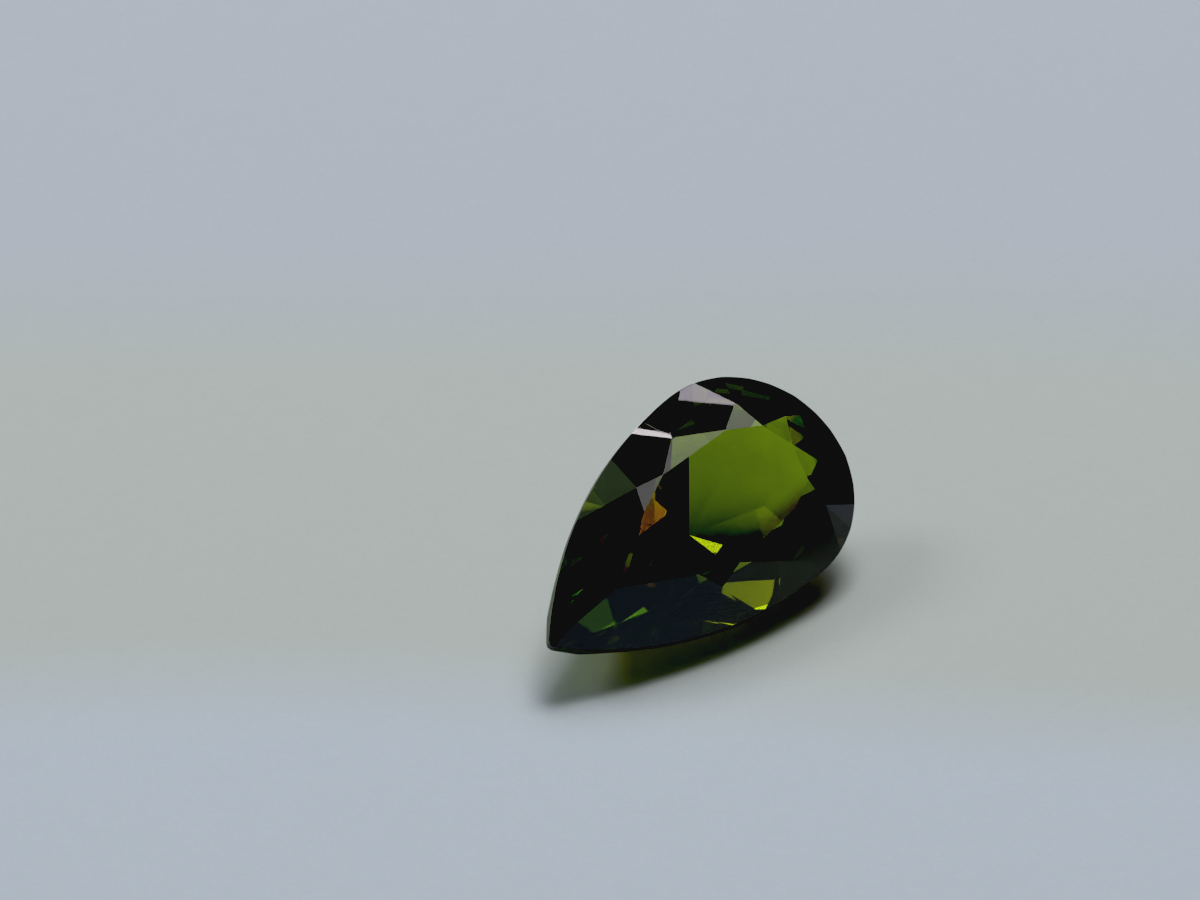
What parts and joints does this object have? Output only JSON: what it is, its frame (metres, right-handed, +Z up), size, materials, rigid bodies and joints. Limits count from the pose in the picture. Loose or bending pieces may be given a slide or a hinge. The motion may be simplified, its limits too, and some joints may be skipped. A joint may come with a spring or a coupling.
{
  "type": "faceted gemstone",
  "caption": "Pear-cut green tourmaline gemstone, a faceted teardrop crystal lying on a flank facet of its pavilion.",
  "frame": {"origin": "centre of the bounding box on the surface that the stone lies on", "axes": "+Z up from that surface, +X along the stone towards its round head, -X towards its point, -Y the side that the table leans to"},
  "size_m": [0.0142, 0.007, 0.0062],
  "materials": {
    "tourmaline": "polished"
  },
  "bodies": {
    "root": {"tourmaline": "tourmaline"}
  },
  "joints": []
}
